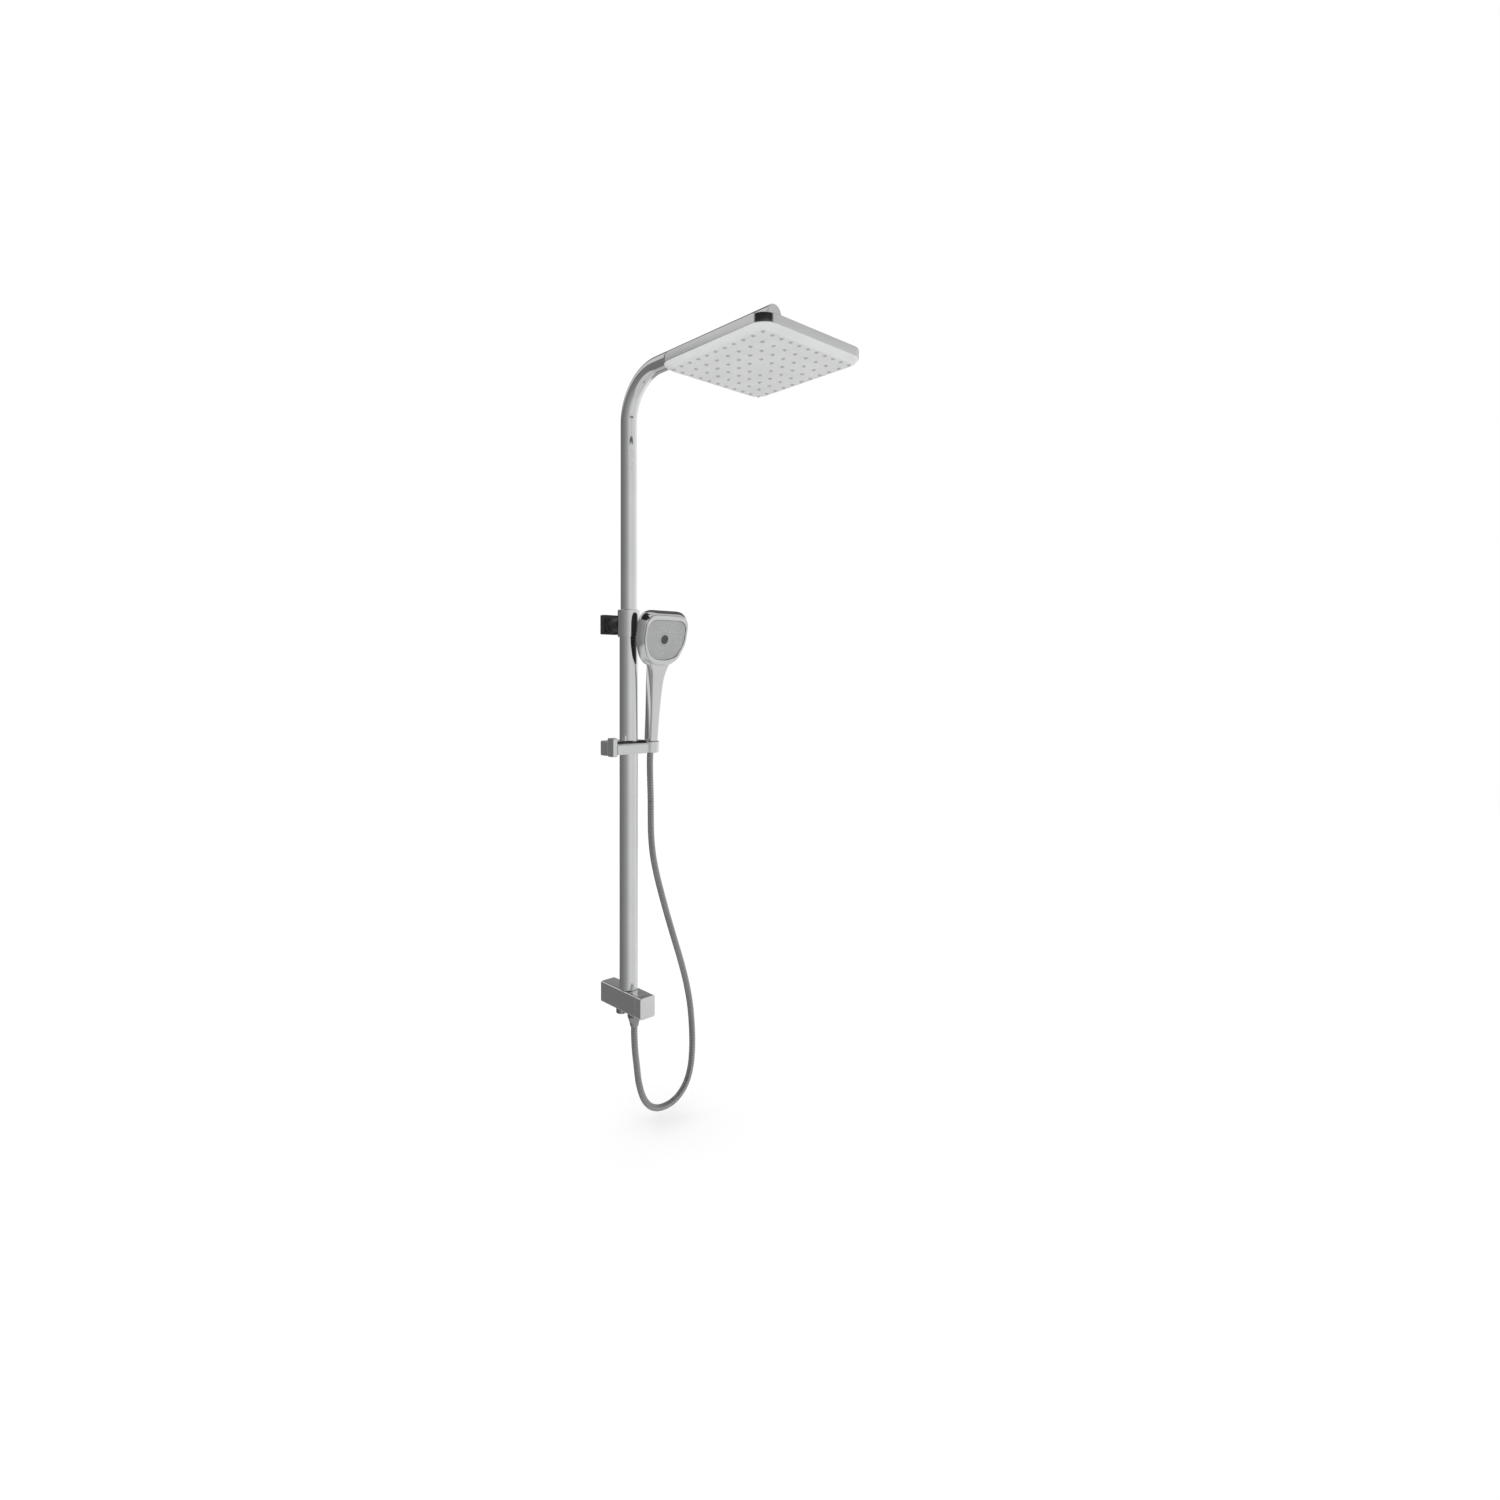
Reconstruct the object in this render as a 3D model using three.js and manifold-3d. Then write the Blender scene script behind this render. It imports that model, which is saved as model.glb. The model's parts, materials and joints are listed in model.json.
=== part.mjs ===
// Rainfall shower column: a diverter on the wall, a telescopic riser with an overhead head on a ball
// joint, and a handset on a sliding holder. Millimetres, +Z up, wall at Y = 0, room at -Y.
// The origin is the middle of the diverter body's back face.
import * as THREE from 'three';
import { mergeVertices } from 'three/addons/utils/BufferGeometryUtils.js';
import Module from 'manifold-3d';

const wasm = await Module();
wasm.setup();

// ---- driving dimensions ----
const GAP = 0.3;                     // clearance between pieces that touch
const COLUMN_OUT = 65;               // wall to column axis
const COLUMN = { radius: 17, bore: 15.5, top: 695 };
const RISER = { radius: 15, bore: 13.5, bottom: 440, bend: 86, armZ: 1155, armEnd: 364 };
const COLLAR = { radius: 20.5, z: 673, height: 50 };
const BODY = { width: 34, height: 39, reach: 106, corner: 3.5 };
const KNOB = { width: 34, height: 39, depth: 14.7, corner: 4 };
const HOSE_OUT = 82;                 // wall to hose outlet axis
const INLET_OUT = 43;                // wall to supply inlet axis
const HEAD = { side: 230, corner: 28, reach: 337, faceZ: 1081, thick: 22, rim: 9, faceInset: 13 };
const BALL = { z: 1117, radius: 10 };
const EDGE_NOZZLES = { count: 11, pitch: 19.2 };
const INNER_NOZZLES = { count: 7, pitch: 23.7 };
const NOZZLE = { radius: 1.7, stand: 1.4, sides: 4 };
const SLIDER = { left: -44, right: 25, depth: 26, z: 459.5, height: 22, chamfer: 8 };
const HOLDER = { x: 42, out: 78, z: 468.5, radius: 15.5, height: 20.5 };
const HANDSET = { lean: 5, headOut: 14.4, headAt: 203, faceTilt: 8 };
// Half of the handset head's widest outline, [half width, height over the face's middle].
const HEAD_HALF = [
  [0, 52], [28, 52], [39.7, 50.5], [48.9, 45.7], [54.9, 37.7], [57, 26], [57, 4], [55.3, -7.7],
  [50.9, -19.7], [45, -32], [35.3, -44.3], [19.9, -51.7], [0, -54],
];
const HOSE_RADIUS = 6;

// ---- materials ----
const finish = (color, roughness, metalness) => new THREE.MeshStandardMaterial({ color, roughness, metalness });
const chrome = finish(0xc9cccf, 0.08, 1.0);
const brass = finish(0xb99a5a, 0.35, 1.0);
const steel = finish(0x9a9da0, 0.35, 1.0);
const darkPlastic = finish(0x3a3c3f, 0.5, 0.0);
const whitePlastic = finish(0xe4e5e6, 0.45, 0.0);
const greyPlastic = finish(0xa4a6a8, 0.5, 0.0);
const paleRubber = finish(0xc4c6c8, 0.7, 0.0);
const blackRubber = finish(0x1c1c1e, 0.75, 0.0);
const hoseMetal = finish(0xb4b7ba, 0.25, 1.0);

// ---- solids: a closed mesh keeps positions only, its faces point out ----
function closed(geometry) {
  const bare = new THREE.BufferGeometry();
  bare.setAttribute('position', geometry.getAttribute('position'));
  bare.setIndex(geometry.getIndex());
  const merged = mergeVertices(bare, 1e-4);
  const at = merged.getAttribute('position');
  const source = merged.getIndex().array;
  const kept = [];
  let volume = 0;
  const [a, b, c] = [new THREE.Vector3(), new THREE.Vector3(), new THREE.Vector3()];
  for (let i = 0; i < source.length; i += 3) {
    const [p, q, r] = source.slice(i, i + 3);
    if (p === q || q === r || r === p) continue;
    kept.push([p, q, r]);
    volume += a.fromBufferAttribute(at, p).dot(b.fromBufferAttribute(at, q).cross(c.fromBufferAttribute(at, r)));
  }
  merged.setIndex(kept.flatMap(([p, q, r]) => (volume < 0 ? [p, r, q] : [p, q, r])));
  return merged;
}

function manifold(geometry) {
  const mesh = closed(geometry);
  return new wasm.Manifold(new wasm.Mesh({
    numProp: 3,
    vertProperties: new Float32Array(mesh.getAttribute('position').array),
    triVerts: new Uint32Array(mesh.getIndex().array),
  }));
}

function geometryOf(solid) {
  const mesh = solid.getMesh();
  const geometry = new THREE.BufferGeometry();
  geometry.setAttribute('position', new THREE.BufferAttribute(new Float32Array(mesh.vertProperties), 3));
  geometry.setIndex(new THREE.BufferAttribute(new Uint32Array(mesh.triVerts), 1));
  return geometry;
}

const join = (...parts) => geometryOf(parts.map(manifold).reduce((whole, part) => whole.add(part)));
const cut = (body, ...tools) => {
  const removed = tools.map(manifold).reduce((whole, tool) => whole.add(tool));
  return geometryOf(manifold(body).subtract(removed));
};

// ---- shape helpers ----
// A solid of revolution about Z, from [radius, z] points that run anticlockwise.
function turned(points, segments = 16) {
  const profile = points.map(([radius, z]) => new THREE.Vector2(radius, z));
  return new THREE.LatheGeometry(profile, segments).rotateX(Math.PI / 2);
}
const rod = (radius, low, high, segments) => turned([[0, low], [radius, low], [radius, high], [0, high]], segments);
const ring = (outer, inner, low, high, segments) =>
  turned([[inner, low], [outer, low], [outer, high], [inner, high], [inner, low]], segments);
// Turn a shape made about Z so that its axis runs along Y (+Z becomes -Y) or along X.
const towardsRoom = (geometry) => geometry.rotateX(Math.PI / 2);
const alongX = (geometry) => geometry.rotateY(Math.PI / 2);

function roundedRect(width, height, corner) {
  const [w, h, r] = [width / 2, height / 2, corner];
  const shape = new THREE.Shape();
  shape.moveTo(w, r - h);
  shape.absarc(w - r, h - r, r, 0, Math.PI / 2);
  shape.absarc(r - w, h - r, r, Math.PI / 2, Math.PI);
  shape.absarc(r - w, r - h, r, Math.PI, Math.PI * 1.5);
  shape.absarc(w - r, r - h, r, Math.PI * 1.5, Math.PI * 2);
  return shape;
}
const slab = (shape, low, high, curveSegments = 3) =>
  new THREE.ExtrudeGeometry(shape, { depth: high - low, bevelEnabled: false, curveSegments }).translate(0, 0, low);
const block = (x0, x1, y0, y1, z0, z1) =>
  new THREE.BoxGeometry(x1 - x0, y1 - y0, z1 - z0).translate((x0 + x1) / 2, (y0 + y1) / 2, (z0 + z1) / 2);

// A closed skin over rings of equal point count, with a flat fan at each end.
function loft(rings) {
  const count = rings[0].length;
  const points = rings.flat();
  const faces = [];
  for (let level = 0; level + 1 < rings.length; level += 1) {
    for (let i = 0; i < count; i += 1) {
      const [a, b] = [level * count + i, level * count + ((i + 1) % count)];
      faces.push(a, b, b + count, a, b + count, a + count);
    }
  }
  const last = (rings.length - 1) * count;
  for (let i = 1; i + 1 < count; i += 1) {
    faces.push(0, i + 1, i, last, last + i, last + i + 1);
  }
  const geometry = new THREE.BufferGeometry().setFromPoints(points);
  geometry.setIndex(faces);
  return geometry;
}
const circleShape = (radius) => new THREE.Shape().absarc(0, 0, radius, 0, Math.PI * 2);

// ---- the scene graph ----
const column = new THREE.Group();
function add(parent, name, material, geometry) {
  const mesh = new THREE.Mesh(closed(geometry), material);
  mesh.geometry.computeVertexNormals();
  mesh.name = name;
  parent.add(mesh);
  return mesh;
}
function frameAt(parent, x, y, z) {
  const group = new THREE.Group();
  group.position.set(x, y, z);
  parent.add(group);
  return group;
}
const axis = frameAt(column, 0, -COLUMN_OUT, 0);     // the column's own axis

// ---- diverter ----
const CARTRIDGE = { radius: 12.7, back: 78, front: 99.7 };
const BONNET = { radius: 13.2, bore: 5 };
const bodyTop = BODY.height / 2;

function addDiverter() {
  const passage = { radius: 4, level: 8 };
  const shell = towardsRoom(slab(roundedRect(BODY.width, BODY.height, BODY.corner), 0, BODY.reach, 2));
  const at = (geometry, out) => geometry.translate(0, -out, 0);
  add(column, 'diverter_body', chrome, cut(
    shell,
    towardsRoom(rod(CARTRIDGE.radius + GAP, CARTRIDGE.back - GAP, BODY.reach + 1, 16)),
    towardsRoom(rod(BONNET.radius + GAP, CARTRIDGE.front + 0.3, BODY.reach + 2, 16)),
    at(rod(11 + GAP, bodyTop - 12, bodyTop + 1, 16), COLUMN_OUT),
    at(rod(6, passage.level - 4, bodyTop, 12), COLUMN_OUT),
    towardsRoom(rod(passage.radius, COLUMN_OUT, HOSE_OUT, 8)).translate(0, 0, passage.level),
    at(rod(8 + GAP, -bodyTop - 1, -bodyTop + 8, 16), INLET_OUT),
    at(rod(5, -bodyTop, -passage.level, 12), INLET_OUT),
    towardsRoom(rod(passage.radius, INLET_OUT, HOSE_OUT, 8)).translate(0, 0, -passage.level),
    at(rod(7.5 + GAP, -bodyTop - 1, -bodyTop + 5, 16), HOSE_OUT),
    at(rod(4, -bodyTop, -passage.level, 12), HOSE_OUT),
  ));
  add(column, 'diverter_cartridge', whitePlastic, cut(
    towardsRoom(rod(CARTRIDGE.radius, CARTRIDGE.back, CARTRIDGE.front, 16)),
    towardsRoom(rod(4.3, 88, CARTRIDGE.front + 1, 12)),
  ));
  add(column, 'diverter_spindle', brass, towardsRoom(rod(4, 88.5, 116, 12)));
  add(column, 'bonnet_nut', brass, towardsRoom(ring(BONNET.radius, BONNET.bore, 100.3, 105.6, 16)));
  const knobBack = BODY.reach + 1;
  const knob = towardsRoom(slab(
    roundedRect(KNOB.width, KNOB.height, KNOB.corner), knobBack, knobBack + KNOB.depth, 3));
  const screwAt = knobBack + 5;
  add(column, 'diverter_knob', chrome, cut(
    knob,
    towardsRoom(rod(4.3, knobBack - 1, 116.3, 12)),
    at(rod(2.3, -BODY.height, 0, 10), screwAt),
  ));
  add(column, 'knob_grub_screw', steel, at(rod(2, -12, -4.4, 10), screwAt));
  add(column, 'inlet_union', chrome, cut(
    at(join(rod(10, -bodyTop - 12, -bodyTop - GAP, 16), rod(8, -bodyTop - 1, -bodyTop + 7.5, 16)), INLET_OUT),
    at(rod(5, -bodyTop - 20, -bodyTop + 10, 12), INLET_OUT),
    at(rod(8, -bodyTop - 13, -bodyTop - 9, 16), INLET_OUT),
  ));
  add(column, 'inlet_filter_washer', blackRubber,
    at(ring(7.6, 5, -bodyTop - 11.2, -bodyTop - 9.3, 16), INLET_OUT));
  add(column, 'hose_outlet_nipple', brass, cut(
    at(rod(7.5, -bodyTop - 12, -bodyTop + 4.6, 16), HOSE_OUT),
    at(rod(5.4, -bodyTop - 13, -bodyTop - 2, 12), HOSE_OUT),
    at(rod(4, -bodyTop - 5, -bodyTop + 6, 12), HOSE_OUT),
  ));
  add(column, 'check_valve', whitePlastic, at(ring(5, 2.5, -bodyTop - 11.6, -bodyTop - 2.4, 12), HOSE_OUT));
  add(column, 'lower_hose_washer', blackRubber,
    at(ring(7.5, 4, -bodyTop - 14.3, -bodyTop - 12.3, 16), HOSE_OUT));
  add(column, 'lower_hose_nut', chrome, at(turned([
    [7.9, -bodyTop - GAP], [7.9, -bodyTop - 14.7], [6.4, -bodyTop - 14.7], [6.4, -bodyTop - 25.5],
    [7.6, -bodyTop - 25.5], [9.4, -bodyTop - 16], [12.6, -bodyTop - 7], [12.6, -bodyTop - GAP],
    [7.9, -bodyTop - GAP],
  ], 20), HOSE_OUT));
}

// ---- fixed column, its collar and the wall bracket ----
function addColumn() {
  const foot = bodyTop + GAP;
  add(axis, 'lower_tube', chrome, ring(COLUMN.radius, COLUMN.bore, foot, COLUMN.top, 20));
  add(axis, 'column_spigot', brass, turned([
    [6, bodyTop - 11.6], [11, bodyTop - 11.6], [11, foot], [15.2, foot], [15.2, foot + 5], [13.4, foot + 5],
    [13.4, foot + 8], [15.2, foot + 8], [15.2, foot + 14], [6, foot + 14], [6, bodyTop - 11.6],
  ], 16));
  add(axis, 'spigot_seal', blackRubber, ring(15.2, 13.7, foot + 5.3, foot + 7.7, 16));
  const { radius, z, height } = COLLAR;
  const seat = COLUMN.top + GAP;
  add(axis, 'column_collar', chrome, cut(
    turned([
      [COLUMN.radius + GAP, z], [radius - 0.8, z], [radius, z + 0.8], [radius, z + height - 0.8],
      [radius - 0.8, z + height], [RISER.radius + 2, z + height], [RISER.radius + 2, seat],
      [COLUMN.radius + GAP, seat], [COLUMN.radius + GAP, z],
    ], 20),
    alongX(rod(2.8, RISER.radius, radius + 1, 10)).translate(0, 0, z + 36),
    towardsRoom(rod(7.3, -radius - 1, -COLUMN.radius - 1, 16)).translate(0, 0, z + height / 2),
  ));
  add(axis, 'riser_guide_bush', whitePlastic, cut(
    ring(RISER.radius + 1.7, RISER.radius + GAP, seat + GAP, z + height - 0.6, 20),
    alongX(rod(2.8, RISER.radius - 2, radius + 1, 10)).translate(0, 0, z + 36),
  ));
  add(axis, 'height_lock_screw', steel, alongX(rod(2.5, RISER.radius + GAP, radius - 0.4, 10)).translate(0, 0, z + 36));
  const middle = z + height / 2;
  const [coverSide, coverDepth, neckEnd] = [37, 12, COLUMN_OUT - COLUMN.radius - 2.2];
  const cover = towardsRoom(slab(roundedRect(coverSide, coverSide, 2), 0, coverDepth, 2));
  const neck = join(
    towardsRoom(rod(13, coverDepth - 1, COLUMN_OUT - COLLAR.radius - 0.9, 16)),
    towardsRoom(rod(7, COLUMN_OUT - COLLAR.radius - 2, neckEnd, 16)),
  );
  add(column, 'wall_bracket', darkPlastic, cut(
    join(cover, neck),
    towardsRoom(slab(roundedRect(32, 32, 1), -1, 7, 1)),
    towardsRoom(rod(2.6, 4, 60, 10)),
    towardsRoom(rod(5, 6, 12, 12)),
    rod(2.3, -coverSide, -coverSide / 2 + 6, 10).translate(0, -4, 0),
  ).translate(0, 0, middle));
  add(column, 'wall_plate', steel, cut(
    towardsRoom(slab(roundedRect(31.4, 31.4, 1), 0, 5, 1)),
    ...[-9, 9].map((side) => towardsRoom(rod(2.8, -1, 6, 10)).translate(side, 0, 0)),
    rod(1.7, -20, -12, 10).translate(0, -4, 0),
  ).translate(0, 0, middle));
  add(column, 'bracket_lock_screw', steel, rod(1.5, -17.6, -12.3, 10).translate(0, -4, middle));
  add(column, 'bracket_bolt', steel, join(
    towardsRoom(rod(4.5, 7.4, 11.6, 6)),
    towardsRoom(rod(2.3, 11, neckEnd - 0.4, 10)),
  ).translate(0, 0, middle));
}

// ---- telescopic riser with its bend and arm ----
class RiserPath extends THREE.Curve {
  // Stations at the foot, along the quarter bend and at the end of the arm, one extrusion step apart.
  constructor(bendSteps) {
    super();
    this.stations = [[new THREE.Vector3(0, 0, RISER.bottom), 0]];
    for (let step = 0; step <= bendSteps; step += 1) {
      const turn = (step / bendSteps) * Math.PI / 2;
      const centre = new THREE.Vector3(0, -RISER.bend, RISER.armZ - RISER.bend);
      const arm = new THREE.Vector3(0, Math.cos(turn), Math.sin(turn)).multiplyScalar(RISER.bend);
      this.stations.push([centre.add(arm), turn]);
    }
    this.stations.push([new THREE.Vector3(0, -RISER.armEnd, RISER.armZ), Math.PI / 2]);
    this.arcLengthDivisions = this.stations.length - 1;
  }
  getPoint(t) {
    const place = t * (this.stations.length - 1);
    const before = Math.min(Math.floor(place), this.stations.length - 2);
    return this.stations[before][0].clone().lerp(this.stations[before + 1][0], place - before);
  }
  getPointAt(u) { return this.getPoint(u); }
  getTangentAt(u) {
    const turn = this.stations[Math.round(u * (this.stations.length - 1))][1];
    return new THREE.Vector3(0, -Math.sin(turn), Math.cos(turn));
  }
}

function addRiser() {
  const path = new RiserPath(8);
  const along = (radius) => new THREE.ExtrudeGeometry(circleShape(radius), {
    steps: path.stations.length - 1, extrudePath: path, curveSegments: 8, bevelEnabled: false,
  });
  const section = circleShape(RISER.radius);
  section.holes.push(new THREE.Path().absarc(0, 0, RISER.bore, 0, Math.PI * 2, true));
  const tube = new THREE.ExtrudeGeometry(section, {
    steps: path.stations.length - 1, extrudePath: path, curveSegments: 8, bevelEnabled: false,
  });
  const drop = (low, high, radius) => rod(radius, low, high, 16).translate(0, -HEAD.reach, 0);
  const armLow = RISER.armZ - RISER.radius;
  add(axis, 'riser_tube', chrome, cut(tube, drop(armLow - 5, armLow + 8, 6)));
  add(axis, 'arm_end_cap', chrome, join(
    towardsRoom(turned([
      [0, RISER.armEnd + GAP], [RISER.radius, RISER.armEnd + GAP], [RISER.radius, RISER.armEnd + 2],
      [RISER.radius - 1.2, RISER.armEnd + 3], [0, RISER.armEnd + 3],
    ], 16)),
    towardsRoom(rod(RISER.bore - GAP, RISER.armEnd - 8, RISER.armEnd + 1, 16)),
  ).translate(0, 0, RISER.armZ));
  const outlet = join(drop(BALL.z + 13, armLow + 2, 11), drop(armLow, armLow + 6, 5.7));
  const outletBody = manifold(outlet).subtract(manifold(along(RISER.radius + GAP)).subtract(
    manifold(drop(armLow - 20, armLow + 30, 5.8))));
  add(axis, 'arm_outlet', chrome, cut(
    geometryOf(outletBody),
    drop(BALL.z, armLow + 10, 4),
    drop(BALL.z, BALL.z + 21.5, 7),
  ));
  const { radius } = BALL;
  const pivot = frameAt(axis, 0, -HEAD.reach, BALL.z);
  const arc = Array.from({ length: 7 }, (_, i) => {
    const angle = -Math.PI / 2 + 0.38 + (i / 6) * (Math.PI - 0.38 - 0.5);
    return [radius * Math.cos(angle), radius * Math.sin(angle)];
  });
  add(pivot, 'ball_stud', chrome, turned([
    [3, arc[0][1]], ...arc, [5, arc[6][1]], [5, 12.4], [6.7, 13.3], [6.7, 21], [3, 21], [3, arc[0][1]],
  ], 16));
  const bottom = RISER.bottom;
  add(axis, 'riser_gland', whitePlastic, turned([
    [10, bottom - 14], [14.9, bottom - 14], [14.9, bottom - 9.5], [13.4, bottom - 9.5], [13.4, bottom - 6.5],
    [14.9, bottom - 6.5], [14.9, bottom - GAP], [10, bottom - GAP], [10, bottom - 14],
  ], 16));
  add(axis, 'gland_seal', blackRubber, ring(15.2, 13.7, bottom - 9.2, bottom - 6.8, 16));
}

// ---- overhead head ----
function nozzleCentres() {
  const places = [];
  const edge = (EDGE_NOZZLES.count - 1) / 2;
  for (let i = -edge; i <= edge; i += 1) {
    for (let j = -edge; j <= edge; j += 1) {
      if (Math.max(Math.abs(i), Math.abs(j)) === edge) places.push([i * EDGE_NOZZLES.pitch, j * EDGE_NOZZLES.pitch]);
    }
  }
  const inner = (INNER_NOZZLES.count - 1) / 2;
  for (let i = -inner; i <= inner; i += 1) {
    for (let j = -inner; j <= inner; j += 1) {
      if (i !== 0 || j !== 0) places.push([i * INNER_NOZZLES.pitch, j * INNER_NOZZLES.pitch]);
    }
  }
  return places;
}

const headOutline = (inset) =>
  roundedRect(HEAD.side - 2 * inset, HEAD.side - 2 * inset, Math.max(HEAD.corner - inset, 3));
// Rings of the rounded square at a height, for the bevelled face.
const headRing = (inset, z) => headOutline(inset).getPoints(4).slice(0, -1).map((p) => new THREE.Vector3(p.x, p.y, z));

function addHead() {
  const pivot = frameAt(axis, 0, -HEAD.reach, BALL.z);
  const face = HEAD.faceZ - BALL.z;
  const [rimLow, top] = [face + HEAD.thick - HEAD.rim, face + HEAD.thick];
  const wall = 2.2;
  const neckTop = -3.5;
  const shell = loft([
    headRing(0, rimLow), headRing(0, top - 1.5), headRing(1.5, top),
  ]);
  add(pivot, 'head_top_shell', chrome, cut(
    join(shell, rod(13.4, top - 1, neckTop, 16)),
    slab(headOutline(wall), rimLow - 1, top - wall, 3),
    rod(11, top, neckTop + 1, 20),
    rod(5, top - wall - 1, top + 1, 12),
  ));
  // Points of a circle about the ball's centre, [radius, z], between two latitudes in degrees.
  const latitudes = (radius, from, to, count) => Array.from({ length: count }, (_, i) => {
    const angle = THREE.MathUtils.degToRad(from + (i / (count - 1)) * (to - from));
    return [radius * Math.cos(angle), radius * Math.sin(angle)];
  });
  const liner = { inner: BALL.radius + GAP, outer: BALL.radius + 1.5 };
  add(pivot, 'ball_liner', greyPlastic, turned([
    ...latitudes(liner.outer, -62, -34, 5), ...latitudes(liner.inner, -34, -62, 5),
    latitudes(liner.outer, -62, -34, 5)[0],
  ], 16));
  add(pivot, 'ball_seat', whitePlastic, turned([
    [4, top + GAP], [10.7, top + GAP], ...latitudes(liner.outer + GAP, -25, -70, 6), [4, top + GAP],
  ], 16));
  add(pivot, 'swivel_nut', chrome, turned([
    [13.8, -12], [16, -12], [16, 0], [12.5, 6], ...latitudes(BALL.radius + 0.4, 34, -14, 5),
    [10.1, -3.2], [13.8, -3.2], [13.8, -12],
  ], 16));
  const hole = (radius, low, high) => nozzleCentres().map(([x, y]) =>
    rod(radius, low, high, NOZZLE.sides).translate(x, y, 0));
  const plate = loft([
    headRing(HEAD.faceInset, face), headRing(5.5, face + 3.6), headRing(1.2, face + 7.6),
    headRing(0.2, rimLow - GAP),
  ]);
  add(pivot, 'head_spray_plate', whitePlastic, cut(
    plate, slab(headOutline(wall + 5), face + 3.5, rimLow + 1, 4), ...hole(NOZZLE.radius + GAP, face - 1, face + 4),
  ));
  add(pivot, 'head_nozzle_mat', paleRubber, join(
    slab(headOutline(wall + 5.4), face + 3.8, face + 6, 3), ...hole(NOZZLE.radius, face - NOZZLE.stand, face + 4.4),
  ));
  add(pivot, 'head_inner_plate', whitePlastic, cut(
    slab(headOutline(wall + 5.4), face + 9.5, face + 11.5, 3), rod(5, face, top, 12),
  ));
  add(pivot, 'flow_restrictor', brass, ring(4.7, 2, top - wall, top - 0.2, 12));
}

// ---- sliding holder ----
function addSlider() {
  const { left, right, depth, z, height, chamfer } = SLIDER;
  const top = z + height;
  const profile = new THREE.Shape([
    [-depth, z], [depth, z], [depth, top - 4], [depth - 4, top], [chamfer - depth, top], [-depth, top - chamfer],
  ].map((p) => new THREE.Vector2(p[0], p[1])));
  const bar = new THREE.ExtrudeGeometry(profile, { depth: right - left, bevelEnabled: false })
    .applyMatrix4(new THREE.Matrix4().makeBasis(
      new THREE.Vector3(0, 1, 0), new THREE.Vector3(0, 0, 1), new THREE.Vector3(1, 0, 0)))
    .translate(left, 0, 0);
  const pin = { radius: 3, y: COLUMN_OUT - HOLDER.out, z: HOLDER.z };
  add(axis, 'slider_body', chrome, cut(
    bar,
    rod(19.8, z - 1, top + 1, 20),
    alongX(rod(3.3, left - 1, 0, 12)).translate(0, 0, HOLDER.z),
    alongX(rod(pin.radius + GAP, 12, right + 1, 12)).translate(0, pin.y, pin.z),
  ));
  add(axis, 'slider_bush', whitePlastic, cut(
    ring(19.5, COLUMN.radius + GAP, z + 0.4, top - 0.4, 20),
    block(-21, -10, -5.3, 5.3, HOLDER.z - 5.3, HOLDER.z + 5.3),
  ));
  const pad = manifold(block(-18.9, -16, -5, 5, HOLDER.z - 5, HOLDER.z + 5))
    .subtract(manifold(rod(COLUMN.radius + GAP, z, top, 20)));
  add(axis, 'friction_pad', blackRubber, geometryOf(pad));
  const paddle = alongX(slab(roundedRect(34, 18, 3), left - 9, left - GAP, 2)).translate(0, -15, HOLDER.z + 2.5);
  add(axis, 'lock_lever', chrome, cut(
    join(alongX(slab(roundedRect(27, 22, 3), left - 9, left - GAP, 2)).translate(0, 5, HOLDER.z), paddle),
    alongX(rod(3, left - 7, left + 1, 12)).translate(0, 0, HOLDER.z),
  ));
  add(axis, 'lock_screw', steel, alongX(rod(2.7, left - 6.6, -19.2, 12)).translate(0, 0, HOLDER.z));
  add(axis, 'holder_pin', steel, alongX(rod(pin.radius, 20.2, 29.2, 12)).translate(0, pin.y, pin.z));

  const ringFrame = frameAt(column, HOLDER.x, -HOLDER.out, HOLDER.z);
  ringFrame.rotation.x = THREE.MathUtils.degToRad(HANDSET.lean);
  const half = HOLDER.height / 2;
  const boss = alongX(rod(7.5, right + GAP - HOLDER.x, -12, 16));
  add(ringFrame, 'holder_ring', chrome, cut(
    join(rod(HOLDER.radius, -half, half, 20), boss),
    turned([[0, -half - 1], [8.4, -half - 1], [11.9, half + 1], [0, half + 1]], 20),
    alongX(rod(pin.radius + GAP, right - 1 - HOLDER.x, -12.4, 12)),
  ));
  return ringFrame;
}

// ---- handset ----
// The head's outline is one shape at every depth, scaled about the face's middle.
const headPoints = (scale) => [
  ...HEAD_HALF, ...HEAD_HALF.slice(1, -1).reverse().map(([x, y]) => [-x, y]),
].map(([x, y]) => new THREE.Vector2(-x * scale, y * scale));
const faceRing = (scale, z) => headPoints(scale).map((p) => new THREE.Vector3(p.x, p.y, z));
const circleRing = (radius, y, z) => Array.from({ length: 12 }, (_, i) => new THREE.Vector3(
  radius * Math.cos((i / 6) * Math.PI), y + radius * Math.sin((i / 6) * Math.PI), z));

function handleRing(halfWidth, halfDepth, y, z) {
  return Array.from({ length: 16 }, (_, i) => {
    const angle = (i / 16) * Math.PI * 2;
    const squarer = (value) => Math.sign(value) * Math.abs(value) ** 0.55;
    return new THREE.Vector3(halfWidth * squarer(Math.cos(angle)), y + halfDepth * squarer(Math.sin(angle)), z);
  });
}

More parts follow.
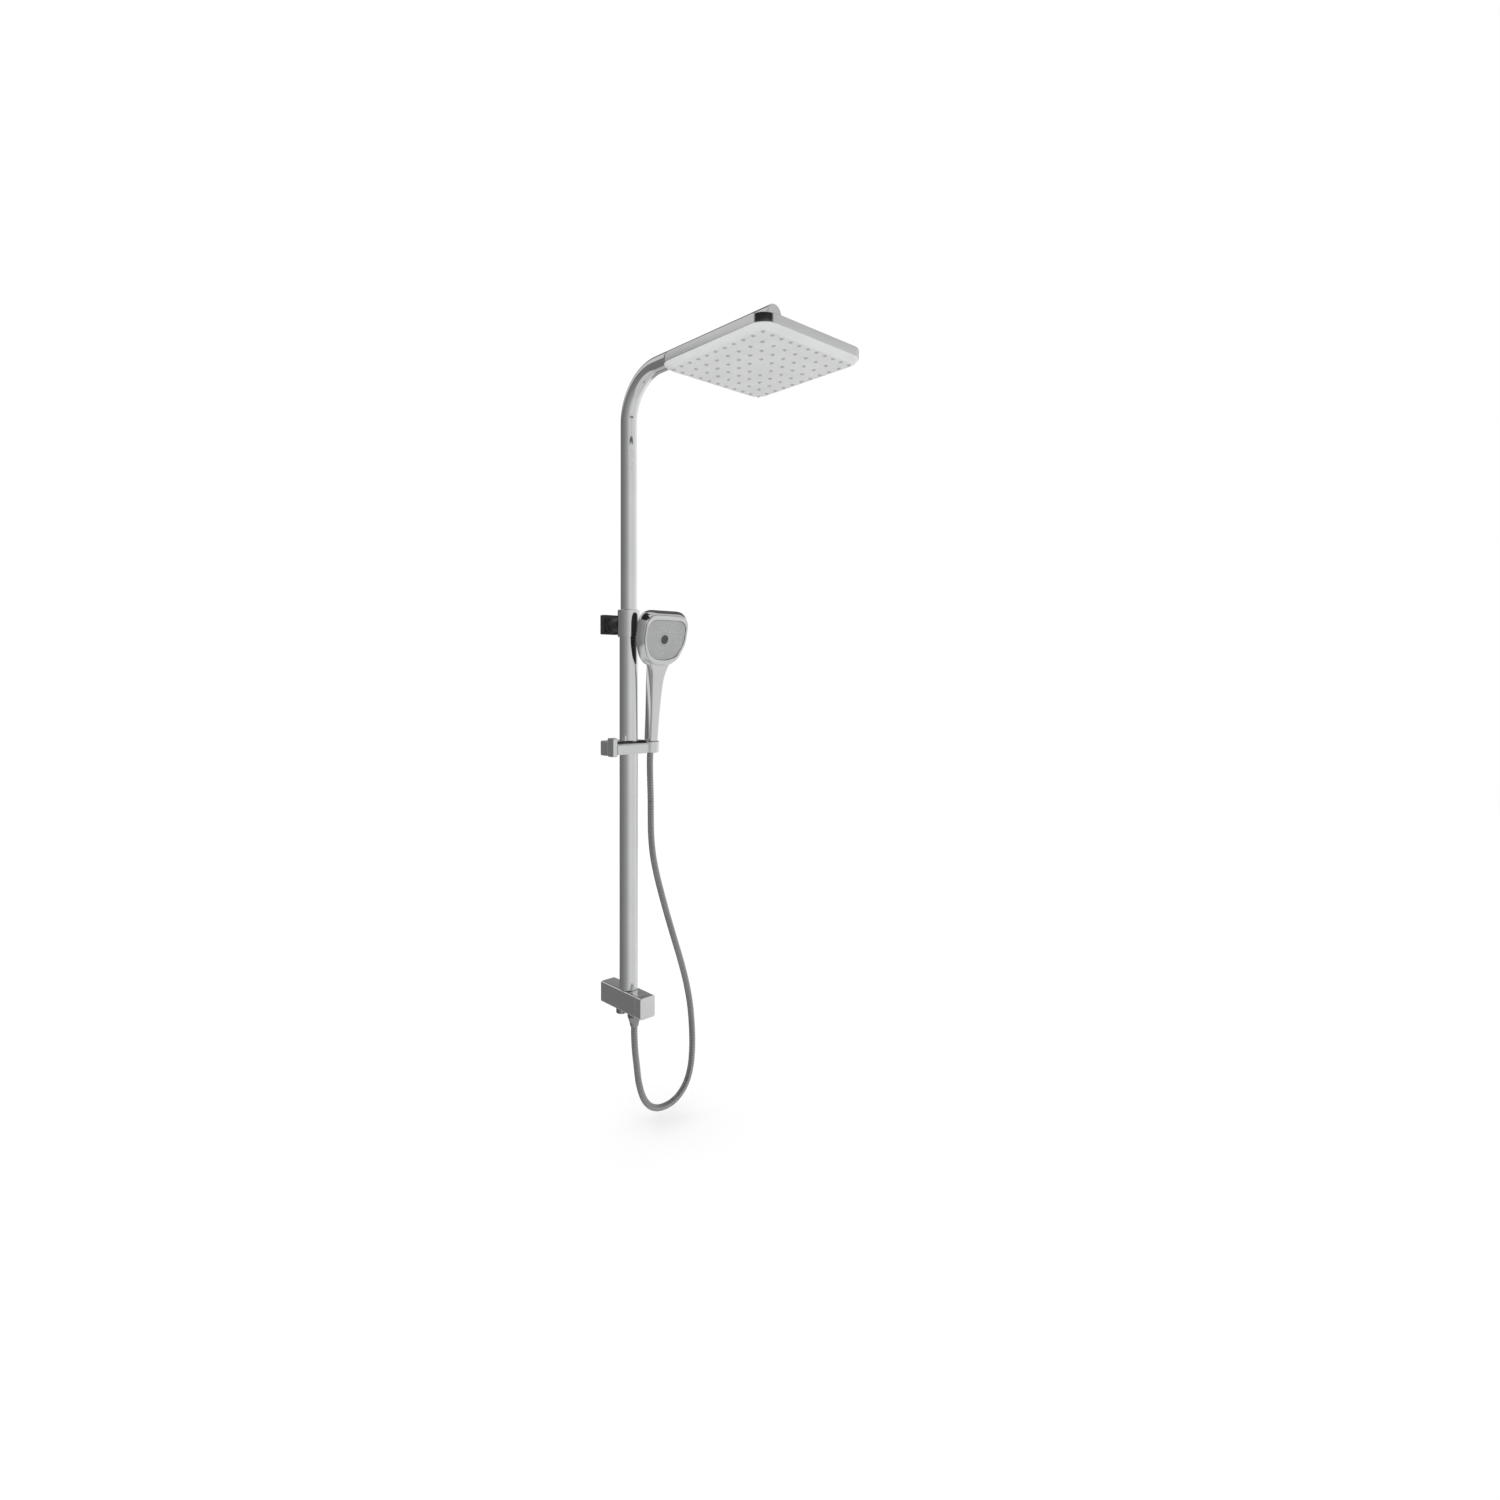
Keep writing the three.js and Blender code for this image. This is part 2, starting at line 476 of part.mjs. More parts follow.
function addHandset(holderFrame) {
  const frame = frameAt(holderFrame, 0, 0, 0);
  const head = new THREE.Matrix4().makeTranslation(0, -HANDSET.headOut, HANDSET.headAt)
    .multiply(new THREE.Matrix4().makeRotationX(THREE.MathUtils.degToRad(HANDSET.faceTilt)));
  const inHead = (geometry) => towardsRoom(geometry).applyMatrix4(head);
  const outline = (scale, low, high) => inHead(slab(new THREE.Shape(headPoints(scale)), low, high, 1));
  const bowl = (...levels) => inHead(loft(levels.map(([scale, z]) => faceRing(scale, z))));
  const foot = HOLDER.height / 2 + 1;
  const handle = loft([
    handleRing(9.5, 10.5, 0, foot), handleRing(9.5, 11, 0, foot + 11), handleRing(10.5, 11, 0, 60),
    handleRing(12.5, 11, -0.5, 100), handleRing(14.5, 11, -1.5, 125), handleRing(18, 10, -5, 143),
    handleRing(24, 8, -9, 158), handleRing(30, 6, -11, 172),
  ]);
  const backShell = join(
    bowl([0.82, -9], [0.965, -6.5], [1, -4], [0.947, 4], [0.877, 11]), handle, rod(7.3, 3, foot + 1, 16),
  );
  const channel = loft([circleRing(5, 0, 2), circleRing(5, 0, 116), circleRing(5, -10.5, 172)]);
  add(frame, 'handset_shell', chrome, cut(backShell, outline(0.816, -5, 12), outline(1.2, 11, 40), channel));
  add(frame, 'handset_trim', chrome, cut(bowl([0.87, 11.3], [0.86, 13], [0.84, 14]), outline(0.807, 11, 15)));
  const button = { radius: 8, back: 5, front: 10 };
  add(frame, 'handset_spray_plate', greyPlastic, cut(
    outline(0.8, 8.2, 12), inHead(rod(button.radius + 0.6, 7, 15, 16)),
  ));
  add(frame, 'handset_nozzle_mat', paleRubber, cut(
    outline(0.772, 5.6, 7.9), inHead(rod(button.radius + 0.9, 4, 10, 16)),
  ));
  add(frame, 'mode_button', darkPlastic, inHead(join(
    rod(button.radius, button.back, button.front, 16), rod(3, 1.5, button.back + 1, 12),
  )));
  const coil = new (class extends THREE.Curve {
    getPoint(t) {
      const [turns, low, high] = [4.5, -4.2, button.back - 0.9];
      const angle = t * turns * 2 * Math.PI;
      return new THREE.Vector3(5.2 * Math.cos(angle), 5.2 * Math.sin(angle), low + (high - low) * t);
    }
  })();
  add(frame, 'mode_button_spring', steel, inHead(new THREE.ExtrudeGeometry(circleShape(0.5), {
    steps: 36, extrudePath: coil, curveSegments: 2, bevelEnabled: false,
  })));
  add(frame, 'handset_washer', blackRubber, ring(7.3, 4, 0.8, 2.7, 16));
  const half = HOLDER.height / 2;
  add(frame, 'upper_hose_nut', chrome, turned([
    [6.5, -half], [8.1, -half], [11.4, half], [11.4, half + 0.7], [7.7, half + 0.7], [7.7, 0.5], [6.5, 0.5],
    [6.5, -half],
  ], 16));
}

// ---- hose: three tubes end to end, from the lower nut to the handset's nut ----
const HOSE_ROUTE = [
  [0, -82, -35], [0, -82, -60], [2, -82, -92], [6, -82, -122], [10, -82, -150], [16, -82, -172],
  [25, -81.5, -191], [38, -81, -206], [56, -80.5, -216], [78, -80, -219], [100, -80, -215], [119, -80, -203],
  [133, -79.5, -186], [142, -79.5, -160], [146, -79, -125], [145, -79, -85], [140, -79, -40], [129, -79, 8],
  [114, -79, 55], [98, -78.5, 100], [82, -78.5, 145], [67, -78.5, 190], [55, -78.5, 230], [47, -78.5, 265],
  [43, -78.5, 300], [42, -78.5, 335], [42, -78.3, 365],
];
const HOSE_TOP_ROUTE = [
  [42, -78.3, 365.3], [42, -77.6, 385], [42, -76.7, 405], [42, -76, 425], [42, -75.9, 441],
  [42, -76.56, 452], [42, -77.11, 458.29], [42, -77.625, 464.216],
];
const HOSE_NECK = { low: -3.6, high: 0.5 };

function hoseTube(route, steps) {
  const curve = new THREE.CatmullRomCurve3(route.map((p) => new THREE.Vector3(...p)), false, 'centripetal');
  return new THREE.ExtrudeGeometry(circleShape(HOSE_RADIUS), {
    steps, extrudePath: curve, curveSegments: 4, bevelEnabled: false,
  });
}

addDiverter();
addColumn();
addRiser();
addHead();
const holderFrame = addSlider();
addHandset(holderFrame);
add(column, 'hose', hoseMetal, hoseTube(HOSE_ROUTE, 40));
add(column, 'hose_upper', hoseMetal, hoseTube(HOSE_TOP_ROUTE, 8));
add(holderFrame, 'hose_neck', hoseMetal, rod(HOSE_RADIUS, HOSE_NECK.low, HOSE_NECK.high, 8));

export default column;
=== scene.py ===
"""Looks of the rainfall shower column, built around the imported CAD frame. Metres, +Z up, wall at Y = 0."""

import json
import math

import bmesh
import bpy
from mathutils import Matrix, Vector


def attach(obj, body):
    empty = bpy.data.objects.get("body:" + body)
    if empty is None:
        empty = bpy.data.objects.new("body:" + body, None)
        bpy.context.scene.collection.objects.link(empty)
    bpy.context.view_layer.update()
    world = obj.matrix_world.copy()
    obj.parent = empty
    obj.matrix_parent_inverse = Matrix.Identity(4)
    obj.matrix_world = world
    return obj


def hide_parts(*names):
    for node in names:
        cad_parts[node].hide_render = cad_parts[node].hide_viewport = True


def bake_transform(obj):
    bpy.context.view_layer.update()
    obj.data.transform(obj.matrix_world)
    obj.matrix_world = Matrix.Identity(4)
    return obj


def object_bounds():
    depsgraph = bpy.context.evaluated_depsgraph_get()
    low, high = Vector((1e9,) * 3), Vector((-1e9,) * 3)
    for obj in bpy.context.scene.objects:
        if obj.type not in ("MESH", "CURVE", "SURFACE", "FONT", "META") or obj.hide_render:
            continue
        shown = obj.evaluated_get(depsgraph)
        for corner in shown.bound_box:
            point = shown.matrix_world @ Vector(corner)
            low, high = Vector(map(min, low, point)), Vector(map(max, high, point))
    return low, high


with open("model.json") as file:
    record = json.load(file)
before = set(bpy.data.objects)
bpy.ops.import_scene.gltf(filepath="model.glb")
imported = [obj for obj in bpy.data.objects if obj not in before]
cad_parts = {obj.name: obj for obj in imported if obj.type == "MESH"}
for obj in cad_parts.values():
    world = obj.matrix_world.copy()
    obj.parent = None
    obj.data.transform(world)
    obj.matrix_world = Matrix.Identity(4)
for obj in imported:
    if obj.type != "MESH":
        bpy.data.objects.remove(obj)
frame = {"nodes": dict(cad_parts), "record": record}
cad_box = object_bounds()
scene = bpy.context.scene
MM = 0.001
TAU = 2 * math.pi

# ---- the object's own places, in the row frame ----
AXIS = Vector((0, -0.065, 0))                   # column axis
HOLDER_AT = Vector((0.042, -0.078, 0.4685))     # middle of the holder ring
LEAN = math.radians(5)                          # the handset's lean towards the room
HEAD_TILT = math.radians(8)                     # its face's further tilt
HEAD_UP = 0.203                                 # ring's middle to the handset face's middle
HEAD_OUT = 0.0144                               # and how far that face stands in front of the handle
BALL = Vector((0, -0.402, 1.117))               # middle of the overhead head's ball joint
HOSE_ROUTE = [
    (0, -82, -35), (0, -82, -60), (2, -82, -92), (6, -82, -122), (10, -82, -150), (16, -82, -172),
    (25, -81.5, -191), (38, -81, -206), (56, -80.5, -216), (78, -80, -219), (100, -80, -215),
    (119, -80, -203), (133, -79.5, -186), (142, -79.5, -160), (146, -79, -125), (145, -79, -85),
    (140, -79, -40), (129, -79, 8), (114, -79, 55), (98, -78.5, 100), (82, -78.5, 145),
    (67, -78.5, 190), (55, -78.5, 230), (47, -78.5, 265), (43, -78.5, 300), (42, -78.5, 335),
    (42, -78.3, 365),
]
HOSE_TOP_ROUTE = [
    (42, -78.3, 365.3), (42, -77.6, 385), (42, -76.7, 405), (42, -76, 425), (42, -75.9, 441),
    (42, -76.56, 452), (42, -77.11, 458.29), (42, -77.625, 464.216),
]

# ---- camera ----
camera_data = bpy.data.cameras.new("camera")
camera_data.sensor_width = 36
camera_data.lens = 20.11
camera_data.shift_x = 0.0453
camera_data.shift_y = -0.0492
camera_data.clip_end = 50
camera = bpy.data.objects.new("camera", camera_data)
scene.collection.objects.link(camera)
camera.location = (-0.950, -1.305, 0.600)
camera.rotation_euler = (math.radians(90), 0, math.radians(-41.1))
scene.camera = camera


# ---- mesh helpers ----
def weigh(obj):
    """Shade large faces flat and let the small ones between them carry the turn."""
    weight = obj.modifiers.new("weights", "WEIGHTED_NORMAL")
    weight.mode = "FACE_AREA"
    weight.keep_sharp = True


def link(name, bm, material, sharp=32, flat=True):
    """A mesh object from a bmesh, smooth except along edges sharper than the angle in degrees."""
    bmesh.ops.recalc_face_normals(bm, faces=bm.faces)
    limit = math.radians(sharp)
    for face in bm.faces:
        face.smooth = True
    for edge in bm.edges:
        if len(edge.link_faces) == 2:
            edge.smooth = edge.calc_face_angle() < limit
    mesh = bpy.data.meshes.new(name)
    bm.to_mesh(mesh)
    bm.free()
    mesh.materials.append(material)
    obj = bpy.data.objects.new(name, mesh)
    scene.collection.objects.link(obj)
    if flat:
        weigh(obj)
    return obj


def rounded(obj, width, segments=3, angle=30):
    """Round the piece's sharp edges by a width in millimetres, with true flat faces between them."""
    bevel = obj.modifiers.new("edges", "BEVEL")
    bevel.width = width * MM
    bevel.segments = segments
    bevel.limit_method = "ANGLE"
    bevel.angle_limit = math.radians(angle)
    bevel.harden_normals = True
    bevel.use_clamp_overlap = True
    return obj


def skin(bm, rings, closed_ends=(True, True), loop=False):
    """Quads between rings of equal point count; loop joins the last ring to the first."""
    made = [[bm.verts.new(point) for point in ring] for ring in rings]
    pairs = list(zip(made, made[1:]))
    if loop:
        pairs.append((made[-1], made[0]))
    for low, high in pairs:
        count = len(low)
        for i in range(count):
            j = (i + 1) % count
            bm.faces.new((low[i], low[j], high[j], high[i]))
    if closed_ends[0] and not loop:
        bm.faces.new(made[0])
    if closed_ends[1] and not loop:
        bm.faces.new(made[-1])
    return made


def turn(bm, profile, segments=48, place=Matrix.Identity(4)):
    """Revolve (radius, height) points in millimetres about Z.

    A profile that starts off the axis closes on itself.
    """
    solid = profile[0][0] == 0
    points = [p for p in profile if p[0] > 0] if solid else profile
    rings = []
    for radius, height in points:
        ring = []
        for i in range(segments):
            angle = TAU * i / segments
            ring.append(place @ (Vector((radius * math.cos(angle), radius * math.sin(angle), height)) * MM))
        rings.append(ring)
    skin(bm, rings, loop=not solid)


ALONG_ROOM = Matrix.Rotation(math.radians(90), 4, "X")      # +Z becomes -Y
ALONG_X = Matrix.Rotation(math.radians(90), 4, "Y")         # +Z becomes +X


def at(x, y, z):
    return Matrix.Translation(Vector((x, y, z)) * MM)


HOLDER_FRAME = Matrix.Translation(HOLDER_AT) @ Matrix.Rotation(LEAN, 4, "X")
FACE_FRAME = (
    HOLDER_FRAME
    @ Matrix.Translation((0, -HEAD_OUT, HEAD_UP))
    @ Matrix.Rotation(HEAD_TILT, 4, "X")
    @ ALONG_ROOM
)
BALL_FRAME = Matrix.Translation(BALL)


def round_rect(width, height, corner, arc=8):
    """Points round a rounded rectangle, in millimetres."""
    points = []
    for cx, cy, start in ((1, 1, 0), (-1, 1, 90), (-1, -1, 180), (1, -1, 270)):
        for i in range(arc + 1):
            angle = math.radians(start + 90 * i / arc)
            points.append((
                cx * (width / 2 - corner) + corner * math.cos(angle),
                cy * (height / 2 - corner) + corner * math.sin(angle),
            ))
    return points


def stack(bm, outline, levels, place, closed_ends=(True, True), loop=False):
    """Loft an outline through (inset, height) levels."""
    rings = []
    for inset, height in levels:
        rings.append([place @ (Vector((x, y, height)) * MM) for x, y in outline(inset)])
    return skin(bm, rings, closed_ends, loop)


def front_levels(low, high, edge, steps=4):
    """(inset, height) levels of a slab that is square at its foot and quarter-round at its front."""
    return [(0, low), *soft_levels(low, high, edge, steps)[steps + 1:]]


def soft_levels(low, high, edge, steps=4, inset=0):
    """(inset, height) levels of a slab with quarter-round edges at both ends."""
    levels = []
    for i in range(steps + 1):
        angle = math.pi / 2 * i / steps
        levels.append((inset + edge * (1 - math.sin(angle)), low + edge * (1 - math.cos(angle))))
    for i in range(steps + 1):
        angle = math.pi / 2 * i / steps
        levels.append((inset + edge * (1 - math.cos(angle)), high - edge * (1 - math.sin(angle))))
    return levels


def spline(points, step):
    """Points along a centripetal Catmull-Rom curve through the given ones, a step apart, in metres."""
    ends = [points[0] * 2 - points[1], *points, points[-1] * 2 - points[-2]]
    dense = []
    for p0, p1, p2, p3 in zip(ends, ends[1:], ends[2:], ends[3:]):
        t1 = (p1 - p0).length ** 0.5
        t2 = t1 + (p2 - p1).length ** 0.5
        t3 = t2 + (p3 - p2).length ** 0.5
        pieces = 24
        for i in range(pieces):
            t = t1 + (t2 - t1) * i / pieces
            a1 = p0.lerp(p1, t / t1)
            a2 = p1.lerp(p2, (t - t1) / (t2 - t1))
            a3 = p2.lerp(p3, (t - t2) / (t3 - t2))
            b1 = a1.lerp(a2, t / t2)
            b2 = a2.lerp(a3, (t - t1) / (t3 - t1))
            dense.append(b1.lerp(b2, (t - t1) / (t2 - t1)))
    dense.append(points[-1].copy())
    return resample(dense, step)


def resample(dense, step):
    lengths = [0]
    for a, b in zip(dense, dense[1:]):
        lengths.append(lengths[-1] + (b - a).length)
    count = max(2, round(lengths[-1] / step))
    out = []
    k = 0
    for i in range(count + 1):
        target = lengths[-1] * i / count
        while k < len(lengths) - 2 and lengths[k + 1] < target:
            k += 1
        span = lengths[k + 1] - lengths[k]
        out.append(dense[k].lerp(dense[k + 1], (target - lengths[k]) / span))
    return out


def frames_along(points):
    """A twist-free frame at each point: (point, side, up)."""
    side = None
    made = []
    for i, point in enumerate(points):
        tangent = (points[min(i + 1, len(points) - 1)] - points[max(i - 1, 0)]).normalized()
        if side is None:
            side = tangent.orthogonal().normalized()
        side = (side - tangent * side.dot(tangent)).normalized()
        made.append((point, side, tangent.cross(side)))
    return made


def tube_rings(points, radii, segments):
    rings = []
    for (point, side, up), radius in zip(frames_along(points), radii):
        rings.append([
            point + (side * math.cos(TAU * k / segments) + up * math.sin(TAU * k / segments)) * radius
            for k in range(segments)
        ])
    return rings


# ---- materials ----
class Nodes:
    """Short ways to build a node tree on a material."""

    def __init__(self, name):
        self.material = bpy.data.materials.new(name)
        self.material.use_nodes = True
        self.tree = self.material.node_tree
        self.shader = self.tree.nodes["Principled BSDF"]
        self.place = self.add("ShaderNodeTexCoord").outputs["Object"]

    def add(self, kind, **values):
        node = self.tree.nodes.new(kind)
        for key, value in values.items():
            setattr(node, key, value)
        return node

    def wire(self, source, target):
        self.tree.links.new(source, target)

    def scaled(self, scale):
        mapping = self.add("ShaderNodeMapping")
        mapping.inputs["Scale"].default_value = scale
        self.wire(self.place, mapping.inputs["Vector"])
        return mapping.outputs["Vector"]

    def noise(self, scale, detail=3.0, stretch=(1, 1, 1), rough=0.5):
        node = self.add("ShaderNodeTexNoise")
        node.inputs["Scale"].default_value = scale
        node.inputs["Detail"].default_value = detail
        node.inputs["Roughness"].default_value = rough
        self.wire(self.scaled(stretch), node.inputs["Vector"])
        return node.outputs["Fac"]

    def ramp(self, source, stops):
        node = self.add("ShaderNodeValToRGB")
        elements = node.color_ramp.elements
        while len(elements) < len(stops):
            elements.new(0.5)
        for element, (position, colour) in zip(elements, stops):
            element.position = position
            element.color = (*colour, 1)
        self.wire(source, node.inputs["Fac"])
        return node.outputs["Color"]

    def spread(self, source, low, high, start=0.3, end=0.7):
        node = self.add("ShaderNodeMapRange")
        node.inputs["From Min"].default_value = start
        node.inputs["From Max"].default_value = end
        node.inputs["To Min"].default_value = low
        node.inputs["To Max"].default_value = high
        self.wire(source, node.inputs["Value"])
        return node.outputs["Result"]

    def bump(self, source, strength, distance, below=None):
        node = self.add("ShaderNodeBump")
        node.inputs["Strength"].default_value = strength
        node.inputs["Distance"].default_value = distance
        self.wire(source, node.inputs["Height"])
        if below is not None:
            self.wire(below, node.inputs["Normal"])
        return node.outputs["Normal"]

    def set(self, **values):
        for key, value in values.items():
            self.shader.inputs[key.replace("_", " ")].default_value = value


def grey(level, tint=0.0):
    return (level - tint, level, level + tint)


def plated(name, low, high, rough, wave):
    """Chrome plate: faint colour drift, fine haze from dried water, slow waviness in its reflections."""
    n = Nodes(name)
    n.set(Metallic=1.0)
    tone = n.ramp(n.noise(14, 2), [(0.3, grey(low, 0.004)), (0.7, grey(high, 0.004))])
    n.wire(tone, n.shader.inputs["Base Color"])
    haze = n.spread(n.noise(60, 5, rough=0.65), rough[0], rough[1], 0.45, 0.8)
    n.wire(haze, n.shader.inputs["Roughness"])
    n.wire(n.bump(n.noise(9, 1), 0.12, wave), n.shader.inputs["Normal"])
    return n.material


def metal(name, low, high, rough, stretch, scratch):
    """Turned or drawn metal: colour drift and fine marks that run one way."""
    n = Nodes(name)
    n.set(Metallic=1.0)
    marks = n.noise(420, 3, stretch)
    n.wire(n.ramp(marks, [(0.3, low), (0.7, high)]), n.shader.inputs["Base Color"])
    n.wire(n.spread(marks, rough[0], rough[1]), n.shader.inputs["Roughness"])
    n.wire(n.bump(marks, scratch, 0.0002), n.shader.inputs["Normal"])
    return n.material


def moulded(name, low, high, rough, grain, strength, coat=0.0):
    """Moulded plastic or rubber: soft colour drift, and a fine spark-eroded grain."""
    n = Nodes(name)
    n.set(Metallic=0.0, Coat_Weight=coat, Coat_Roughness=0.12)
    n.wire(n.ramp(n.noise(22, 3), [(0.3, low), (0.7, high)]), n.shader.inputs["Base Color"])
    fine = n.noise(grain, 4, rough=0.6)
    n.wire(n.spread(fine, rough[0], rough[1]), n.shader.inputs["Roughness"])
    n.wire(n.bump(fine, strength, 0.0002), n.shader.inputs["Normal"])
    return n.material


CHROME = plated("chrome", 0.80, 0.84, (0.045, 0.09), 0.0002)
PLASTIC_CHROME = plated("chromed_plastic", 0.78, 0.82, (0.06, 0.11), 0.0004)
HOSE_CHROME = plated("hose_metal", 0.40, 0.46, (0.22, 0.34), 0.0002)
BRASS = metal("brass", (0.62, 0.47, 0.22), (0.70, 0.55, 0.28), (0.25, 0.4), (1, 1, 8), 0.15)
# A darker, duller copy of the chrome for the inlet stub and the hose nuts, which sit under the diverter and
# the handset: painted shade.
SHADED_CHROME = plated("shaded_nut_chrome", 0.36, 0.42, (0.14, 0.22), 0.0003)
STEEL = metal("steel", (0.52, 0.53, 0.54), (0.62, 0.63, 0.64), (0.28, 0.42), (8, 1, 1), 0.15)
WHITE = moulded("white_plastic", grey(0.78), grey(0.83), (0.4, 0.5), 1800, 0.08)
PALE = moulded("pale_plastic", grey(0.65, 0.004), grey(0.69, 0.004), (0.3, 0.4), 2200, 0.06, 0.3)
FACE_GREY = moulded("grey_plastic", grey(0.33, 0.004), grey(0.37, 0.004), (0.34, 0.44), 1400, 0.03, 0.2)
DARK = moulded("dark_plastic", grey(0.045, 0.002), grey(0.06, 0.002), (0.35, 0.48), 1500, 0.1)
# Near-black: the wall flange's colour, and painted shade over the handset's back.
NEAR_BLACK = moulded("near_black", grey(0.012), grey(0.018), (0.3, 0.4), 2200, 0.04)
SILICONE = moulded("pale_silicone", grey(0.40, 0.003), grey(0.45, 0.003), (0.55, 0.7), 1300, 0.12)
RUBBER = moulded("black_rubber", grey(0.02), grey(0.032), (0.6, 0.75), 1100, 0.15)
BY_SLOT = {
    "chrome": CHROME, "chromed_plastic": PLASTIC_CHROME, "hose_metal": HOSE_CHROME, "brass": BRASS,
    "steel": STEEL, "white_plastic": WHITE, "pale_plastic": PALE, "grey_plastic": FACE_GREY,
    "dark_plastic": DARK, "pale_silicone": SILICONE, "black_rubber": RUBBER,
}
for part in frame["record"]["subparts"]:
    node = frame["nodes"][part["node"]]
    node.data.materials.clear()
    node.data.materials.append(BY_SLOT[part["material_slot"]])


def place(obj, body, *nodes):
    """The piece rides on a body and stands for the CAD nodes of the same shape."""
    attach(obj, body)
    if nodes:
        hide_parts(*nodes)
    return obj


# ---- the hose: interlocked metal strip, as ribs along one route ----
RIB_PITCH = 0.003
RIB = ((0.0, 0.00545), (0.14, 0.00595), (0.5, 0.00612), (0.86, 0.00595))


def ribbed(name, route):
    """A ribbed tube along a route in millimetres; also its centreline."""
    line = spline([Vector(p) * MM for p in route], RIB_PITCH)
    points = []
    radii = []
    for a, b in zip(line, line[1:]):
        for share, radius in RIB:
            points.append(a.lerp(b, share))
            radii.append(radius)
    points.append(line[-1])
    radii.append(RIB[0][1])
    bm = bmesh.new()
    skin(bm, tube_rings(points, radii, 20))
    return link(name, bm, HOSE_CHROME, 50, False), line


def span(line):
    return sum((b - a).length for a, b in zip(line, line[1:]))


hose, hose_line = ribbed("hose_main", HOSE_ROUTE)
hose_top, hose_top_line = ribbed("hose_top", HOSE_TOP_ROUTE)

# The last millimetres inside the upper nut: close rings.
bm = bmesh.new()
NECK_RINGS = 16
neck_low, neck_high = -3.6, 0.5
neck_profile = []
for i in range(NECK_RINGS + 1):
    radius = 5.5 if i % 2 else 6.05
    neck_profile.append((radius, neck_low + (neck_high - neck_low) * i / NECK_RINGS))
turn(bm, [(0, neck_low), *neck_profile, (0, neck_high)], 20, HOLDER_FRAME)
hose_neck = link("hose_neck_rings", bm, HOSE_CHROME, 50, False)

# ---- diverter ----
# Rounded block from the wall outwards, with its handle in front.
BODY_SIDE = (34, 39)


def outline_of(width, height, corner, arc=8):
    return lambda inset: round_rect(width - 2 * inset, height - 2 * inset, max(corner - inset, 0.4), arc)


bm = bmesh.new()
stack(bm, outline_of(*BODY_SIDE, 3.5), soft_levels(0, 106, 0.5), ALONG_ROOM)
place(link("diverter_block", bm, CHROME), "column", "diverter_body")

bm = bmesh.new()
stack(bm, outline_of(34, 39, 4), front_levels(107, 121.7, 1.3, 6), ALONG_ROOM)
stack(bm, outline_of(32, 37, 3), [(0, 106.1), (0, 107.1)], ALONG_ROOM)
place(link("diverter_handle_cap", bm, CHROME), "diverter_handle", "diverter_knob")

bm = bmesh.new()
turn(bm, [
    (5, -12), (5, -31.5), (8, -31.5), (8.2, -28.5), (9, -28.5), (9, -31.5), (9.6, -31.5),
    (10, -31.1), (10, -21.4), (9.2, -20.6), (9.2, -19.6), (8, -19.6), (8, -12),
], 48, at(0, -43, 0))
place(link("inlet_stub", bm, SHADED_CHROME), "column", "inlet_union")


def hose_nut(name, place_at, levels, grooves):
    """A tapered hose nut whose outside has fine flutes between two turned bands."""
    bm = bmesh.new()
    count = 96
    rings = []
    for radius, height, depth in levels:
        ring = []
        for i in range(count):
            cut = depth if (i * grooves * 2 // count) % 2 else 0
            angle = TAU * i / count
            r = radius - cut
            ring.append(place_at @ (Vector((r * math.cos(angle), r * math.sin(angle), height)) * MM))
        rings.append(ring)
    skin(bm, rings, loop=True)
    return link(name, bm, SHADED_CHROME, 40)


lower_nut = hose_nut("hose_nut_lower", at(0, -82, 0), [
    (7.9, -19.8, 0), (7.9, -34.2, 0), (6.4, -34.2, 0), (6.4, -44.6, 0), (7.0, -45, 0),
    (7.5, -44.7, 0), (7.7, -44, 0), (8.6, -39.6, 0.35), (9.4, -36, 0.35), (11.6, -29.4, 0.35),
    (12.1, -28, 0), (12.6, -26.4, 0), (12.6, -22.4, 0), (12.2, -21.8, 0),
    (12.6, -21.2, 0), (12.6, -20.3, 0), (12.2, -19.8, 0),
], 24)
place(lower_nut, "column", "lower_hose_nut")

# ---- fixed column, collar and wall bracket ----
COLUMN_PLACE = Matrix.Translation(AXIS)
bm = bmesh.new()
turn(bm, [
    (15.5, 19.9), (16.6, 19.9), (17, 20.4), (17, 670), (17, 694.6), (16.6, 695), (15.5, 695),
], 72, COLUMN_PLACE)
place(link("column_tube", bm, CHROME), "column", "lower_tube")

bm = bmesh.new()
turn(bm, [
    (17.15, 673), (19.6, 673), (20.2, 673.3), (20.5, 673.9), (20.5, 722.1), (20.2, 722.7),
    (19.6, 723), (17.6, 723), (15.3, 722.4), (15.3, 719), (17.15, 719),
], 72, COLUMN_PLACE)
place(link("column_collar_shell", bm, CHROME), "column", "column_collar", "riser_guide_bush")

MIDDLE_Z = 698
bm = bmesh.new()
cover_place = at(0, 0, MIDDLE_Z) @ ALONG_ROOM
stack(bm, outline_of(37, 37, 2), soft_levels(0, 12, 0.9), cover_place)
turn(bm, [
    (0, 11), (15.2, 11), (15.2, 12.4), (14.2, 12.9), (13.4, 13.6), (13, 14.6), (13, 43),
    (13.4, 44.2), (14.2, 44.6), (14.2, 46.5), (0, 46.5),
], 56, cover_place)
place(link("wall_flange", bm, NEAR_BLACK), "column", "wall_bracket")

